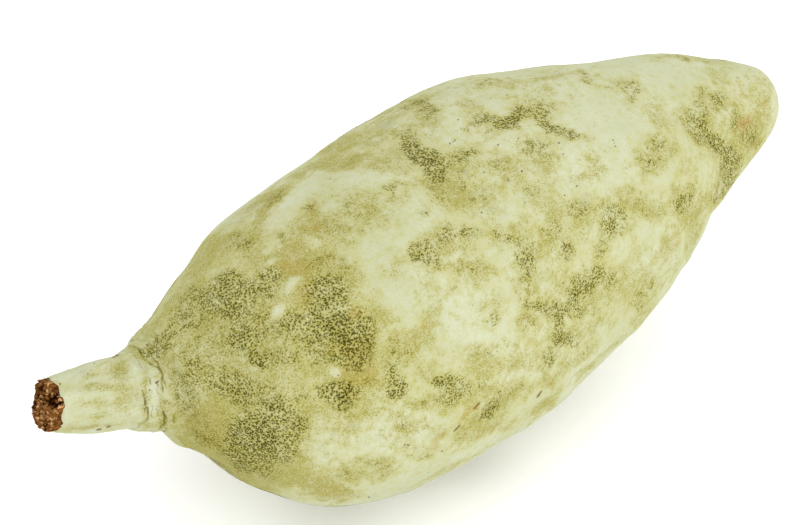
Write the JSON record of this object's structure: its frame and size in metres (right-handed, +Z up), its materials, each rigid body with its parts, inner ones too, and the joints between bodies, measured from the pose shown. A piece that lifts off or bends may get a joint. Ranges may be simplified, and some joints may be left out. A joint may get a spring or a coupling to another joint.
{
  "type": "baobab fruit pod",
  "caption": "Whole baobab fruit pod, egg-shaped and a little bent, with pale green velvety felt, olive speckled worn patches, a blunt nose and a short thick broken stalk",
  "frame": {"origin": "On the ground, under the middle of the whole fruit's bounding box", "axes": "+Z up; +X from the stalk to the nose, which is the fruit's longest extent; the fruit lies on its belly"},
  "size_m": [0.2392, 0.099, 0.0933],
  "materials": {
    "pod_felt": "matte velvety felt of short pale mint-cream hairs, worn through to olive and ochre in patches with fine dark pits",
    "stalk_felt": "matte pale felt over wood, with faint olive streaks along it and a dark brown, crumbly broken end"
  },
  "bodies": {
    "root": {"pod": "pod_felt", "stalk": "stalk_felt"}
  },
  "joints": []
}
